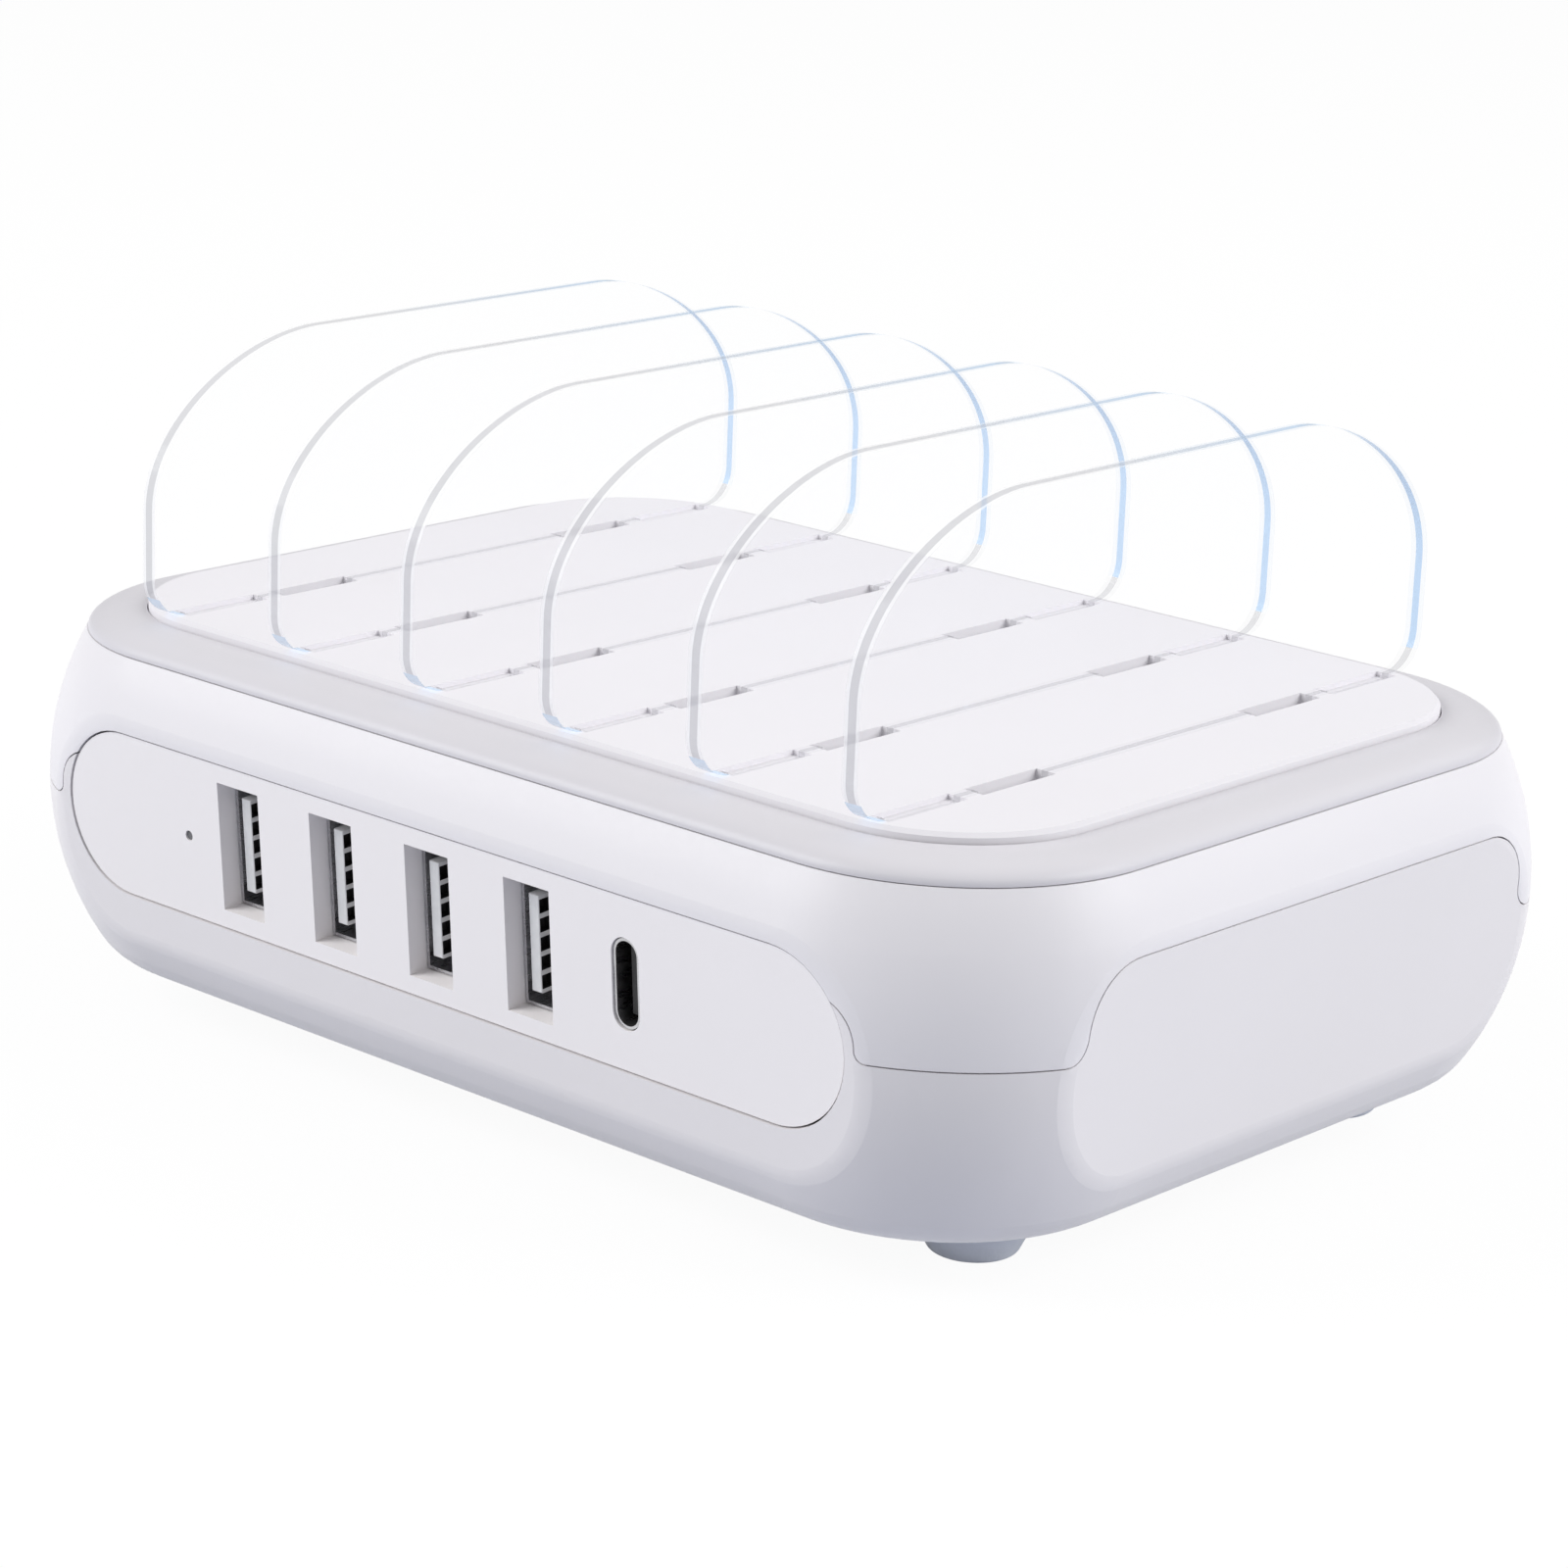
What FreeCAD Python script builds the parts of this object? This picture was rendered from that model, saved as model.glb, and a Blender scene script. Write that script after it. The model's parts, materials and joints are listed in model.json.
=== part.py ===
import FreeCAD
import Part
import math
import os

V = FreeCAD.Vector
UP = V(0, 0, 1)

# Body outline and side profile, in millimetres
body_length = 140.6
body_depth = 101.2
corner_radius = 25.3
lower_rise = 19.8
upper_rise = 15.3
tuck_in = 10.3
bottom_edge_radius = 6.5
shoulder_in = 3.9
wall = 2.2
facet_inset = 2.1
facet_slope_share = 0.08
crease_radius = 4.0
chord_count = 4
port_level = 19.4
seam_gap = 0.15
lip_wall = 1.0
lip_rise = 2.5
lip_play = 0.2
lip_reach = 1.5
cut_over = 40.0

# Feet and case screws
foot_reach = 4.2
foot_diameter = 12.4
foot_draft = 2.0
foot_edge_radius = 0.9
foot_recess = 1.2
foot_play = 0.2
foot_from_end = 18.3
foot_from_side = 22.6
screw_head_diameter = 5.4
screw_head_height = 2.0
screw_shank_diameter = 2.8
screw_play = 0.2
screw_bite = 9.0
boss_wall = 2.3
post_height_gap = 0.3

# Floor vents
vent_length = 16.0
vent_width = 2.2
vent_pitch = 5.0
vent_count = 9
vent_row_offset = 11.0

# Side and rear panels of the lower shell
ear_half_height = 8.7
ear_fillet = 2.5
ear_past_corner = 8.0
front_ear_height = 5.2
front_ear_fillet = 1.2
front_ear_past_plate = 1.0

# Top band and panel
flange_width = 9.4
flange_corner_extra = 12.0
flange_thickness = 2.2
band_width = 6.3
band_rise = 2.1
band_edge_radius = 1.0
band_reveal = 0.2
band_reveal_depth = 0.6
skirt_wall = 1.4
skirt_drop = 2.2
skirt_play = 0.2
panel_proud = 1.0
panel_thickness = 1.8
panel_play = 0.15
panel_edge_bevel = 0.4

# Clear dividers
divider_count = 6
divider_from_end = 12.6
divider_thickness = 2.0
divider_overhang = 2.4
divider_height = 27.8
divider_top_run = 22.5
divider_top_drop = 16.5
divider_curve_share = 0.56
divider_bottom_radius = 4.0
groove_depth = 0.5
groove_play = 0.2
keel_step = 0.4
keel_length = 10.4
shelf_gap = 0.1
tab_width = 10.0
tab_reach = 6.0
tab_from_end = 22.3
tab_play = 0.2
socket_wall = 1.2
socket_drop = 5.4

# Port plate on the front
plate_from_end = 17.1
plate_half_height = 8.8
plate_play = 0.2
plate_setback = 0.15
plate_flange_from_end = 27.3
plate_flange_margin = 0.9
plate_flange_thickness = 1.2

# Ports, along the plate from its middle
usb_a_count = 4
port_pitch = 13.5
first_port = -27.0
usb_c_place = 26.2
led_from_board_end = 10.2
board_from_face = 14.9

# Upright type A sockets
usb_a_width = 5.72
usb_a_height = 13.14
usb_a_wall = 0.31
usb_a_setback = 2.4
usb_a_play = 0.15
tongue_setback = 3.3
tongue_height = 11.1
tongue_thickness = 1.3
tongue_wall_gap = 1.0
tongue_base = 3.7
base_play = 0.05
contact_width = 1.3
contact_thickness = 0.6
contact_setback = 0.3
contact_inner_place = 1.0
contact_outer_place = 3.5

# Upright type C socket
usb_c_width = 3.26
usb_c_height = 8.94
usb_c_wall = 0.28
usb_c_setback = 0.35
usb_c_play = 0.12
c_tongue_setback = 1.4
c_tongue_height = 6.7
c_tongue_thickness = 0.7
c_tongue_length = 6.4
c_contact_count = 12
c_contact_pitch = 0.5
c_contact_width = 0.28
c_contact_thickness = 0.1
c_contact_length = 4.2

# Charge light
pipe_diameter = 0.95
pipe_play = 0.05
pipe_setback = 0.3
chip_width = 1.6
chip_height = 1.0
chip_depth = 0.6
chip_gap = 0.1

# Circuit boards
board_thickness = 1.6
port_board_from_end = 25.3
port_board_half_height = 8.2
rail_width = 3.5
rail_grip = 1.4
rail_wall = 1.4
rail_top = 6.0
rail_play = 0.1
main_board_from_end = 28.3
main_board_from_side = 19.6
standoff_rise = 3.6
standoff_diameter = 7.0
standoff_from_end = 6.0
standoff_from_side = 8.5
board_screw_head = 5.0
board_screw_head_height = 1.6
board_screw_shank = 2.4
board_screw_bite = 2.8
header_length = 20.0
header_depth = 3.4
header_height = 7.5
header_gap = 0.2

# Power parts on the main board
core_length = 28.0
core_depth = 11.0
core_height = 21.0
core_limb_share = 11 / 56
core_place_x = -12.0
core_place_y = 4.0
winding_overhang = 4.0
winding_play = 0.2
winding_corner = 3.0
bulk_diameter = 15.0
bulk_height = 21.0
bulk_place_x = 13.0
bulk_place_y = 8.2
output_count = 2
output_diameter = 8.0
output_height = 14.0
output_place_x = -20.0
output_place_y = -13.0
output_spacing = 10.0
can_rim = 1.0
sink_length = 26.0
sink_height = 18.0
sink_base = 2.0
sink_fin = 1.2
sink_fin_depth = 6.0
sink_fin_count = 5
sink_place_x = 14.0
sink_place_y = -12.0
transistor_width = 10.0
transistor_height = 15.0
transistor_thickness = 4.4
choke_diameter = 14.0
choke_ring = 5.0
choke_bevel = 1.4
choke_place_x = 25.0
choke_place_y = 8.5
fuse_diameter = 5.2
fuse_length = 20.0
fuse_cap = 5.0
fuse_cap_step = 0.3
fuse_place_x = 16.0
fuse_place_y = -2.4
rectifier_length = 15.0
rectifier_depth = 3.6
rectifier_height = 11.0
rectifier_corner = 3.0
rectifier_place_x = -6.0
rectifier_place_y = 17.0

# Mains inlet, two round pins
inlet_from_end = 50.3
inlet_width = 21.0
inlet_height = 11.4
inlet_length = 22.0
inlet_recess = 1.2
inlet_play = 0.2
inlet_lobe_diameter = 7.8
pin_spacing = 8.6
pin_diameter = 2.4
pin_length = 10.5
pin_root = 4.0
inlet_cavity_depth = 12.5
inlet_waist_height = 6.6

# Levels and half sizes that follow from the sizes above
half_length = body_length / 2
half_depth = body_depth / 2
z_bottom = foot_reach
z_wide = z_bottom + lower_rise
z_seam = z_wide + upper_rise
z_port = z_bottom + port_level
z_floor = z_bottom + wall
z_band_top = z_seam + band_rise
z_panel = z_band_top + panel_proud
z_panel_under = z_panel - panel_thickness
tilt = math.degrees(math.atan(facet_slope_share))
quarter_turn = 90
side_square = tuck_in ** 2 + lower_rise ** 2 - 2 * lower_rise * bottom_edge_radius
side_radius = side_square / (2 * (tuck_in - bottom_edge_radius))
shoulder_radius = (upper_rise ** 2 + shoulder_in ** 2) / (2 * shoulder_in)
seam_half_length = half_length - shoulder_in
seam_half_depth = half_depth - shoulder_in
seam_corner = corner_radius - shoulder_in
panel_half_length = seam_half_length - band_width
panel_half_depth = seam_half_depth - band_width
panel_corner = seam_corner - band_width
opening_half_length = seam_half_length - flange_width
opening_half_depth = seam_half_depth - flange_width
opening_corner = seam_corner - flange_width + flange_corner_extra
face_half_depth = half_depth - facet_inset
face_half_length = half_length - facet_inset
foot_x = half_length - foot_from_end
foot_y = half_depth - foot_from_side
boss_radius = screw_head_diameter / 2 + screw_play + boss_wall
post_radius = screw_shank_diameter / 2 + boss_wall
z_screw_seat = z_floor + foot_recess + screw_head_height
z_boss_top = z_port - lip_rise
z_board = z_floor + standoff_rise
z_board_top = z_board + board_thickness
main_board_length = body_length - 2 * main_board_from_end
main_board_depth = body_depth - 2 * main_board_from_side
plate_half_length = half_length - plate_from_end
plate_flange_half_length = half_length - plate_flange_from_end
port_board_half_length = half_length - port_board_from_end
led_place = led_from_board_end - port_board_half_length
inlet_place = half_length - inlet_from_end
core_limb = core_length * core_limb_share
divider_pitch = 2 * (panel_half_length - divider_from_end) / (divider_count - 1)
divider_half = panel_half_depth + divider_overhang
z_divider = z_panel - groove_depth
shelf_half = divider_half - divider_bottom_radius
keel_half = shelf_half - keel_step
keel_inner = keel_half - keel_length
z_shelf = z_panel + shelf_gap
diagonal_share = math.sqrt(0.5)


# Basic shapes
def box(x0, x1, y0, y1, z0, z1):
    return Part.makeBox(x1 - x0, y1 - y0, z1 - z0, V(x0, y0, z0))


def rounded_face(half_x, half_y, radius, z):
    r = min(radius, half_x, half_y)
    cx = half_x - r
    cy = half_y - r
    edges = []
    diagonal = r * diagonal_share
    corners = [(cx, cy, 1, 1), (-cx, cy, -1, 1), (-cx, -cy, -1, -1), (cx, -cy, 1, -1)]
    ends = []
    for px, py, sx, sy in corners:
        along_x = V(px + sx * r, py, z)
        along_y = V(px, py + sy * r, z)
        start, stop = (along_x, along_y) if sx == sy else (along_y, along_x)
        middle = V(px + sx * diagonal, py + sy * diagonal, z)
        ends.append((start, middle, stop))
    for i, (start, middle, stop) in enumerate(ends):
        edges.append(Part.Arc(start, middle, stop).toShape())
        nxt = ends[(i + 1) % len(ends)][0]
        if stop.distanceToPoint(nxt) > 0:
            edges.append(Part.makeLine(stop, nxt))
    return Part.Face(Part.Wire(edges))


def rounded_prism(half_x, half_y, radius, z0, z1):
    return rounded_face(half_x, half_y, radius, z0).extrude(V(0, 0, z1 - z0))


def bezier(*poles):
    curve = Part.BezierCurve()
    curve.setPoles(list(poles))
    return curve.toShape()


def four(x, y):
    return [(x, y), (-x, y), (-x, -y), (x, -y)]


def fuse_all(shapes):
    joined = shapes[0].multiFuse(shapes[1:])
    return joined.removeSplitter()


def upright_arc(centre, radius, start, stop):
    points = []
    for angle in (start, (start + stop) / 2, stop):
        points.append(centre + V(radius * math.cos(angle), 0, radius * math.sin(angle)))
    return Part.Arc(*points).toShape()


def upright_chords(centre, radius, start, stop):
    points = []
    for i in range(chord_count + 1):
        angle = start + (stop - start) * i / chord_count
        points.append(centre + V(radius * math.cos(angle), 0, radius * math.sin(angle)))
    return [Part.makeLine(p, q) for p, q in zip(points, points[1:])]


def closed_face(points, curves):
    edges = [Part.makeLine(p, q) for p, q in zip(points, points[1:])]
    return Part.Face(Part.Wire(Part.__sortEdges__(edges + curves)))


# Side profile of the body in tangent arcs, measured out from a corner's centre line
# The inside of the case follows the same arcs in chords
def profile_face(inset, top, smooth):
    low = z_bottom + inset
    edge_centre = V(corner_radius - tuck_in, 0, z_bottom + bottom_edge_radius)
    side_centre = V(corner_radius - side_radius, 0, z_wide)
    shoulder_centre = V(corner_radius - shoulder_radius, 0, z_wide)
    reach = edge_centre - side_centre
    blend = math.atan2(reach.z, reach.x)
    crest = math.asin((top - z_wide) / (shoulder_radius - inset))
    spans = [
        (edge_centre, bottom_edge_radius - inset, -math.pi / 2, blend),
        (side_centre, side_radius - inset, blend, 0),
        (shoulder_centre, shoulder_radius - inset, 0, crest),
    ]
    curves = []
    for span in spans:
        curves += [upright_arc(*span)] if smooth else upright_chords(*span)
    shoulder = shoulder_centre.x + (shoulder_radius - inset) * math.cos(crest)
    points = [V(shoulder, 0, top), V(0, 0, top), V(0, 0, low), V(edge_centre.x, 0, low)]
    return closed_face(points, curves)


# Frame of a facet: x along it, y into the body, z up its slope
def on_facet(shape, side):
    placed = shape.copy()
    placed.rotate(V(0, 0, 0), V(1, 0, 0), tilt)
    reach = face_half_depth if side in ("front", "rear") else face_half_length
    placed.translate(V(0, -reach, z_port))
    turn = {"front": 0, "right": 90, "rear": 180, "left": 270}[side]
    placed.rotate(V(0, 0, 0), UP, turn)
    return placed


# Rounded body swept round the outline, with a flat facet cut on each side
def pebble(inset, top, smooth):
    cx = half_length - corner_radius
    cy = half_depth - corner_radius
    face = profile_face(inset, top, smooth)
    pieces = [box(-cx, cx, -cy, cy, z_bottom + inset, top)]
    for i, (px, py) in enumerate(four(cx, cy)):
        corner = face.revolve(V(0, 0, 0), UP, quarter_turn)
        run = 2 * (cx if i % 2 else cy)
        for piece in (corner, face.extrude(V(0, -run, 0))):
            piece.rotate(V(0, 0, 0), UP, i * quarter_turn)
            piece.translate(V(px, py, 0))
            pieces.append(piece)
    body = fuse_all(pieces)
    reach = half_length + cut_over
    for side in ("front", "right", "rear", "left"):
        outside = box(-reach, reach, inset - cut_over, inset, -cut_over, cut_over)
        body = body.cut(on_facet(outside, side))
    return body.removeSplitter()


# Soft crease round each facet
def soften(body):
    creases = []
    for face in body.Faces:
        flat = isinstance(face.Surface, Part.Plane)
        if flat and abs(face.Surface.Axis.z) < diagonal_share:
            creases += face.OuterWire.Edges
    return body.makeFillet(crease_radius, creases)


# Arched outline of a raised panel, standing on the parting level
def arch(half, height, fillet, grow, depth):
    r = height - fillet
    top = height + grow
    f = fillet - grow
    bend = diagonal_share
    x = half + grow
    right = [
        V(x + f, 0, grow),
        V(x + f - f * bend, 0, grow + f - f * bend),
        V(x, 0, grow + f),
        V(x - (r + grow) * (1 - bend), 0, grow + f + (r + grow) * bend),
        V(x - r - grow, 0, top),
    ]
    left = [V(-p.x, 0, p.z) for p in right]
    foot_right = V(right[0].x, 0, -height)
    foot_left = V(left[0].x, 0, -height)
    edges = [
        Part.Arc(right[0], right[1], right[2]).toShape(),
        Part.Arc(right[2], right[3], right[4]).toShape(),
        Part.makeLine(right[4], left[4]),
        Part.Arc(left[4], left[3], left[2]).toShape(),
        Part.Arc(left[2], left[1], left[0]).toShape(),
        Part.makeLine(left[0], foot_left),
        Part.makeLine(foot_left, foot_right),
        Part.makeLine(foot_right, right[0]),
    ]
    face = Part.Face(Part.Wire(edges))
    face.translate(V(0, -depth, 0))
    return face.extrude(V(0, 2 * depth, 0))


# Three raised panels of the lower shell
panel_depth = wall + lip_wall + lip_play + facet_inset


def raised_panels(grow):
    long_half = half_length - corner_radius + ear_past_corner
    short_half = half_depth - corner_radius + ear_past_corner
    long_arch = arch(long_half, ear_half_height, ear_fillet, grow, panel_depth)
    short_arch = arch(short_half, ear_half_height, ear_fillet, grow, panel_depth)
    return [on_facet(long_arch, "rear"), on_facet(short_arch, "right"), on_facet(short_arch, "left")]


# Space of the lower shell: below the parting level, with its raised panels
# and the two low ears that hold the ends of the port plate
def lower_space(grow):
    reach = half_length + cut_over
    below = box(-reach, reach, -reach, reach, z_bottom - cut_over, z_port + grow)
    ear_half = plate_half_length + front_ear_past_plate
    ears = arch(ear_half, front_ear_height, front_ear_fillet, grow, panel_depth)
    return below.multiFuse(raised_panels(grow) + [on_facet(ears, "front")])


def stadium(half, radius, d0, d1):
    face = rounded_face(half, radius, radius, 0)
    face.rotate(V(0, 0, 0), V(1, 0, 0), 90)
    face.translate(V(0, d0, 0))
    return face.extrude(V(0, d1 - d0, 0))


def upright_stadium(width, height, d0, d1):
    face = rounded_face(width / 2, height / 2, width / 2, 0)
    face.rotate(V(0, 0, 0), V(1, 0, 0), 90)
    face.translate(V(0, d0, 0))
    return face.extrude(V(0, d1 - d0, 0))


def cylinder(radius, x, y, z0, z1):
    return Part.makeCylinder(radius, z1 - z0, V(x, y, z0))


# Shells
outer = soften(pebble(0, z_seam, True))
inner = pebble(wall, z_seam - flange_thickness, False)
plate_hole = on_facet(
    stadium(plate_half_length, plate_half_height, -cut_over / 2, wall + lip_wall + lip_play),
    "front",
)
flange_hole = rounded_prism(
    opening_half_length,
    opening_half_depth,
    opening_corner,
    z_seam - flange_thickness - wall,
    z_seam + wall,
)
skin = outer.cut(inner).cut(flange_hole).cut(plate_hole)

# Inner lip of the lower shell, behind the whole parting line
lip_low = z_port - lip_rise
lip_high = z_port + lip_rise
lip_inside = pebble(wall + lip_play + lip_wall, z_seam, False)
lip_slice = box(-half_length, half_length, -half_depth, half_depth, lip_low, lip_high)
lip_space = lip_slice.multiFuse(raised_panels(lip_reach))
root_slice = box(-half_length, half_length, -half_depth, half_depth, lip_low, z_port - lip_play)
root_space = root_slice.multiFuse(raised_panels(-lip_play))
lip = pebble(wall + lip_play, z_seam, False).cut(lip_inside).common(lip_space)
root = inner.cut(lip_inside).common(root_space)
front_gap = on_facet(
    box(-half_length, half_length, -cut_over, wall + lip_wall + lip_play + seam_gap, -cut_over, cut_over),
    "front",
)
lip = lip.fuse(root).cut(front_gap)

lower = skin.common(lower_space(0)).fuse(lip)
upper = skin.cut(lower_space(seam_gap))

# Bosses, posts, standoffs, board rails, vents and the inlet window
rail_half = port_board_half_length - rail_grip
rails = []
slot = box(
    -port_board_half_length - rail_play,
    port_board_half_length + rail_play,
    board_from_face - rail_play,
    board_from_face + board_thickness + rail_play,
    -port_board_half_height - rail_play,
    cut_over,
)
for side in (-1, 1):
    near = side * rail_half
    far = side * (rail_half + rail_width)
    rail = box(
        min(near, far),
        max(near, far),
        board_from_face - rail_wall,
        board_from_face + board_thickness + rail_wall,
        -cut_over / 2,
        rail_top,
    )
    rails.append(on_facet(rail.cut(slot), "front").common(outer))

for x, y in four(foot_x, foot_y):
    lower = lower.fuse(cylinder(boss_radius, x, y, z_bottom, z_boss_top).common(outer))
    post = cylinder(post_radius, x, y, z_boss_top + post_height_gap, z_seam - flange_thickness / 2)
    upper = upper.fuse(post.cut(flange_hole))
standoff_x = main_board_length / 2 - standoff_from_end
standoff_y = main_board_depth / 2 - standoff_from_side
for x, y in four(standoff_x, standoff_y):
    lower = lower.fuse(cylinder(standoff_diameter / 2, x, y, z_floor - wall / 2, z_board))
for rail in rails:
    lower = lower.fuse(rail)

for x, y in four(foot_x, foot_y):
    recess = foot_diameter / 2 + foot_play
    head = screw_head_diameter / 2 + screw_play
    shank = screw_shank_diameter / 2 + screw_play
    lower = lower.cut(cylinder(recess, x, y, z_bottom - wall, z_bottom + foot_recess))
    lower = lower.cut(cylinder(head, x, y, z_bottom, z_screw_seat))
    lower = lower.cut(cylinder(shank, x, y, z_bottom, z_boss_top + wall))
    bite_top = z_boss_top + screw_bite + post_height_gap
    upper = upper.cut(cylinder(screw_shank_diameter / 2, x, y, z_boss_top - wall, bite_top))
for x, y in four(standoff_x, standoff_y):
    lower = lower.cut(cylinder(board_screw_shank / 2, x, y, z_board - board_screw_bite, z_board + wall))
vents = []
for row in (-1, 1):
    y0 = row * vent_row_offset - vent_length / 2
    y1 = y0 + vent_length
    for i in range(vent_count):
        x0 = (i - (vent_count - 1) / 2) * vent_pitch - vent_width / 2
        x1 = x0 + vent_width
        vents.append(box(x0, x1, y0, y1, z_bottom - wall, z_floor + wall / 2))
lower = lower.cut(Part.makeCompound(vents))
inlet_window = box(
    inlet_place - inlet_width / 2 - inlet_play,
    inlet_place + inlet_width / 2 + inlet_play,
    half_depth - facet_inset - inlet_length,
    half_depth + wall,
    z_board_top - inlet_play,
    z_board_top + inlet_height + inlet_play,
)
lower = lower.cut(inlet_window)


# Band: a rounded ring with a ledge for the panel and a locating skirt
def band_profile(corner):
    inn = corner - band_width
    step = z_seam + band_reveal
    back = corner - band_reveal_depth
    rise = z_band_top - step
    crown_square = band_width ** 2 - 2 * band_width * band_edge_radius + rise ** 2
    crown_radius = crown_square / (2 * (rise - band_edge_radius))
    edge_centre = V(corner - band_edge_radius, 0, step)
    crown_centre = V(inn, 0, z_band_top - crown_radius)
    reach = edge_centre - crown_centre
    blend = math.atan2(reach.z, reach.x)
    curves = [
        upright_arc(edge_centre, band_edge_radius, 0, blend),
        upright_arc(crown_centre, crown_radius, blend, math.pi / 2),
    ]
    corners = [(inn, z_band_top), (inn, z_seam), (back, z_seam), (back, step), (corner, step)]
    return closed_face([V(x, 0, z) for x, z in corners], curves)


def swept_ring(face, half_x, half_y, corner):
    cx = half_x - corner
    cy = half_y - corner
    pieces = []
    for i, (px, py) in enumerate(four(cx, cy)):
        bend = face.revolve(V(0, 0, 0), UP, quarter_turn)
        run = face.extrude(V(0, -2 * (cx if i % 2 else cy), 0))
        for piece in (bend, run):
            piece.rotate(V(0, 0, 0), UP, i * quarter_turn)
            piece.translate(V(px, py, 0))
            pieces.append(piece)
    return fuse_all(pieces)


ring = swept_ring(band_profile(seam_corner), seam_half_length, seam_half_depth, seam_corner)
skirt_in = skirt_play + skirt_wall
ledge = rounded_prism(
    panel_half_length + panel_play,
    panel_half_depth + panel_play,
    panel_corner + panel_play,
    z_seam,
    z_panel_under,
)
skirt = rounded_prism(
    opening_half_length - skirt_play,
    opening_half_depth - skirt_play,
    opening_corner - skirt_play,
    z_seam - skirt_drop,
    z_panel_under,
)
hollow = rounded_prism(
    opening_half_length - skirt_in,
    opening_half_depth - skirt_in,
    opening_corner - skirt_in,
    z_seam - skirt_drop - wall,
    z_panel + wall,
)
bed = rounded_prism(
    panel_half_length + panel_play,
    panel_half_depth + panel_play,
    panel_corner + panel_play,
    z_panel_under,
    z_panel + wall,
)
band = fuse_all([ring.cut(bed), ledge, skirt]).cut(hollow)

# Slotted panel with a socket under each tab
panel = rounded_prism(panel_half_length, panel_half_depth, panel_corner, z_panel_under, z_panel)
rim = [e for e in panel.Edges if min(v.Z for v in e.Vertexes) > z_panel - panel_edge_bevel]
panel = panel.makeChamfer(panel_edge_bevel, rim)
divider_x = [(i - (divider_count - 1) / 2) * divider_pitch for i in range(divider_count)]
half_slot = divider_thickness / 2 + groove_play
half_tab = tab_width / 2 + tab_play
groove_half = keel_half + groove_play
groove_inner = keel_inner - groove_play
tab_place = divider_half - tab_from_end
tab_y = (-tab_place, tab_place)
sockets = []
cuts = []
for x in divider_x:
    x0 = x - half_slot
    x1 = x + half_slot
    cuts.append(box(x0, x1, -groove_half, -groove_inner, z_divider, z_panel + wall))
    cuts.append(box(x0, x1, groove_inner, groove_half, z_divider, z_panel + wall))
    for y in tab_y:
        w = half_slot + socket_wall
        t = half_tab + socket_wall
        sockets.append(box(x - w, x + w, y - t, y + t, z_panel_under - socket_drop, z_panel_under))
        slot_low = z_panel_under - wall - socket_drop
        cuts.append(box(x0, x1, y - half_tab, y + half_tab, slot_low, z_panel + wall))
panel = panel.multiFuse(sockets).cut(Part.makeCompound(cuts)).removeSplitter()


# Divider: clear plate with large rounded shoulders, two keels in its grooves and two tabs
def divider():
    top = z_panel + divider_height
    low = z_divider
    h = divider_half
    r = divider_bottom_radius
    k = divider_curve_share
    bend = r * (1 - diagonal_share)
    side = top - divider_top_drop
    run = h - divider_top_run
    tab_low = z_panel - tab_reach
    right = []
    for y0, y1, z in (
        (tab_place - tab_width / 2, tab_place + tab_width / 2, tab_low),
        (keel_inner, keel_half, low),
    ):
        right += [V(0, y0, z_shelf), V(0, y0, z), V(0, y1, z), V(0, y1, z_shelf)]
    right.append(V(0, shelf_half, z_shelf))
    bottom = [V(0, -p.y, p.z) for p in reversed(right)] + right
    edges = [Part.makeLine(a, b) for a, b in zip(bottom, bottom[1:])]
    edges += [
        Part.Arc(bottom[-1], V(0, h - bend, z_shelf + bend), V(0, h, z_shelf + r)).toShape(),
        Part.makeLine(V(0, h, z_shelf + r), V(0, h, side)),
        bezier(
            V(0, h, side),
            V(0, h, side + divider_top_drop * k),
            V(0, run + divider_top_run * (1 - k), top),
            V(0, run, top),
        ),
        Part.makeLine(V(0, run, top), V(0, -run, top)),
        bezier(
            V(0, -run, top),
            V(0, -run - divider_top_run * (1 - k), top),
            V(0, -h, side + divider_top_drop * k),
            V(0, -h, side),
        ),
        Part.makeLine(V(0, -h, side), V(0, -h, z_shelf + r)),
        Part.Arc(V(0, -h, z_shelf + r), V(0, -h + bend, z_shelf + bend), bottom[0]).toShape(),
    ]
    face = Part.Face(Part.Wire(edges))
    face.translate(V(-divider_thickness / 2, 0, 0))
    return face.extrude(V(divider_thickness, 0, 0))


# Port plate
port_x = [first_port + i * port_pitch for i in range(usb_a_count)]
flange_d = wall + plate_play
plate = stadium(plate_half_length - plate_play, plate_half_height - plate_play, plate_setback, flange_d)
plate_flange = box(
    -plate_flange_half_length,
    plate_flange_half_length,
    flange_d,
    flange_d + plate_flange_thickness,
    -plate_half_height - plate_flange_margin,
    plate_half_height + plate_flange_margin,
)
plate = plate.fuse(plate_flange)
for x in port_x:
    w = usb_a_width / 2 + usb_a_play
    h = usb_a_height / 2 + usb_a_play
    plate = plate.cut(box(x - w, x + w, -cut_over, cut_over, -h, h))
c_hole = upright_stadium(
    usb_c_width + 2 * usb_c_play,
    usb_c_height + 2 * usb_c_play,
    -cut_over,
    cut_over,
)
c_hole.translate(V(usb_c_place, 0, 0))
plate = plate.cut(c_hole)
pipe_hole = Part.makeCylinder(
    pipe_diameter / 2 + pipe_play,
    2 * cut_over,
    V(led_place, -cut_over, 0),
    V(0, 1, 0),
)
plate = plate.cut(pipe_hole).removeSplitter()


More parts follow.
